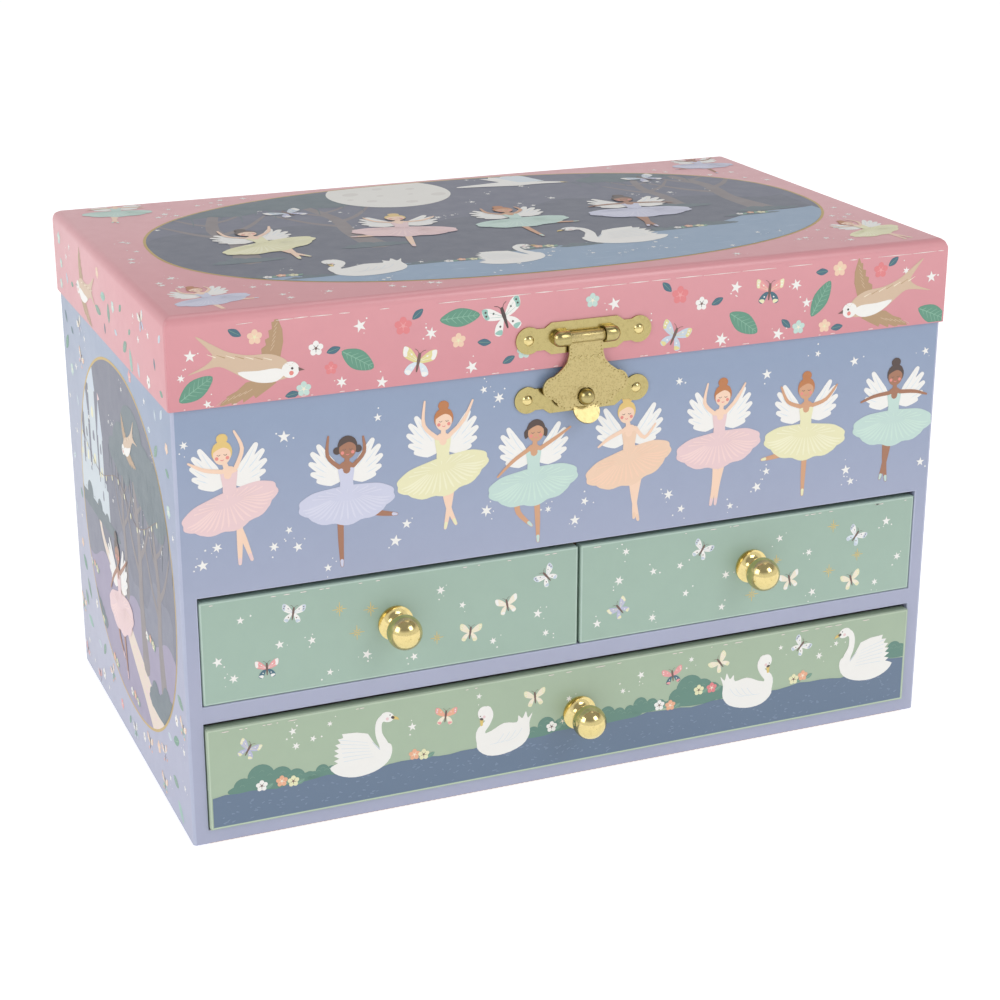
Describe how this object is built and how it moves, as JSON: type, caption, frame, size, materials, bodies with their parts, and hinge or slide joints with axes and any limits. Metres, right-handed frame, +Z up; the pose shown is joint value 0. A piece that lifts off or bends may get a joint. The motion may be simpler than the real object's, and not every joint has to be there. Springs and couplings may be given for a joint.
{
  "type": "musical jewellery box",
  "caption": "Papered musical jewellery box with a hinged mirrored lid and brass hasp, drawers in front, a divided tray, and a wind-up movement that turns a dancer.",
  "frame": {"origin": "centre of the underside of the case, on the table", "axes": "+X to the right seen from the front, -Y out of the front with the drawers, +Z up"},
  "size_m": [0.282, 0.2025, 0.182],
  "materials": {
    "lid_paper": "matt printed paper over board",
    "case_paper": "matt printed paper over board",
    "sage_paper": "matt printed paper over board",
    "green_paper": "matt printed paper over board",
    "fibreboard": "raw fibreboard",
    "lining_paper": "plain lining paper",
    "felt": "soft felt",
    "roll_fabric": "padded velvet",
    "brass": "polished, lightly worn",
    "steel": "bright",
    "spring_steel": "blued spring steel",
    "cast_metal": "machined casting",
    "mirror": "silvered glass",
    "skin": "painted plastic",
    "tulle": "stiff tulle"
  },
  "bodies": {
    "case": {"base_board": "fibreboard", "left_side_board": "case_paper", "right_side_board": "case_paper", "back_board": "case_paper", "front_apron": "case_paper", "middle_shelf": "case_paper", "drawer_divider": "fibreboard", "tray_floor": "fibreboard", "tray_partitions": "lining_paper", "tray_felt": "felt", "ring_rolls": "roll_fabric", "stage_board": "lining_paper", "hinge_leaves_case": "brass", "hinge_pins": "steel", "case_nails": "brass", "catch_plate": "brass", "catch_stud": "brass", "movement_bed": "cast_metal", "comb": "steel", "movement_screws": "steel", "spring_housing": "brass", "mainspring": "spring_steel"},
    "lid": {"lid_top_board": "lid_paper", "lid_front_board": "lid_paper", "lid_back_board": "lid_paper", "lid_side_boards": "lid_paper", "mirror": "mirror", "mirror_frame": "lining_paper", "hinge_leaves_lid": "brass", "lid_nails": "brass", "clasp_plate": "brass", "clasp_pin": "steel"},
    "hasp": {"clasp_flap": "brass"},
    "left_drawer": {"left_drawer_front": "sage_paper", "left_drawer_walls": "fibreboard", "left_drawer_bottom": "fibreboard", "left_drawer_knob": "brass", "left_drawer_screw": "steel"},
    "right_drawer": {"right_drawer_front": "sage_paper", "right_drawer_walls": "fibreboard", "right_drawer_bottom": "fibreboard", "right_drawer_knob": "brass", "right_drawer_screw": "steel"},
    "low_drawer": {"low_drawer_front": "green_paper", "low_drawer_walls": "fibreboard", "low_drawer_bottom": "fibreboard", "low_drawer_knob": "brass", "low_drawer_screw": "steel"},
    "winder": {"winding_key": "brass", "winding_arbor": "steel"},
    "mainwheel": {"great_wheel": "brass"},
    "music_cylinder": {"cylinder_arbor": "brass", "cylinder_drum": "brass"},
    "brake": {"air_brake": "brass"},
    "dancer": {"dancer_spindle": "brass", "dancer_spring": "steel", "dancer_figure": "skin", "dancer_tutu": "tulle"},
    "stopper": {"stop_wire": "steel"}
  },
  "joints": [
    {"name": "lid_hinge", "type": "hinge", "parent": "case", "child": "lid", "pos_m": [0, 0.0865, 0.152], "axis": [-1, 0, 0], "range_deg": [0, 100]},
    {"name": "hasp_hinge", "type": "hinge", "parent": "lid", "child": "hasp", "pos_m": [0, -0.0861, 0.1623], "axis": [-1, 0, 0], "range_deg": [0, 165]},
    {"name": "left_drawer_slide", "type": "slide", "parent": "case", "child": "left_drawer", "axis": [0, -1, 0], "range_m": [0, 0.12]},
    {"name": "right_drawer_slide", "type": "slide", "parent": "case", "child": "right_drawer", "axis": [0, -1, 0], "range_m": [0, 0.12]},
    {"name": "low_drawer_slide", "type": "slide", "parent": "case", "child": "low_drawer", "axis": [0, -1, 0], "range_m": [0, 0.12]},
    {"name": "winding_turn", "type": "hinge", "parent": "case", "child": "winder", "pos_m": [0.014, 0.08, 0.107], "axis": [0, 1, 0], "continuous": true},
    {"name": "mainwheel_turn", "type": "hinge", "parent": "case", "child": "mainwheel", "pos_m": [0.014, 0.055, 0.107], "axis": [0, 1, 0], "continuous": true},
    {"name": "cylinder_turn", "type": "hinge", "parent": "case", "child": "music_cylinder", "pos_m": [0, 0.04, 0.107], "axis": [0, 1, 0], "continuous": true},
    {"name": "brake_turn", "type": "hinge", "parent": "case", "child": "brake", "pos_m": [-0.013, 0.06, 0.107], "axis": [0, 1, 0], "continuous": true},
    {"name": "dancer_turn", "type": "hinge", "parent": "case", "child": "dancer", "pos_m": [0, 0.012, 0.11], "axis": [0, 0, 1], "continuous": true},
    {"name": "stop_slide", "type": "slide", "parent": "case", "child": "stopper", "axis": [0, 0, 1], "range_m": [0, 0.004]}
  ],
  "couplings": [
    {"joint": "cylinder_turn", "follows": "mainwheel_turn", "ratio": -2.5},
    {"joint": "brake_turn", "follows": "mainwheel_turn", "ratio": 8.3333},
    {"joint": "dancer_turn", "follows": "mainwheel_turn", "ratio": 7.5},
    {"joint": "stop_slide", "follows": "lid_hinge", "m_per_rad": 0.0022918}
  ]
}
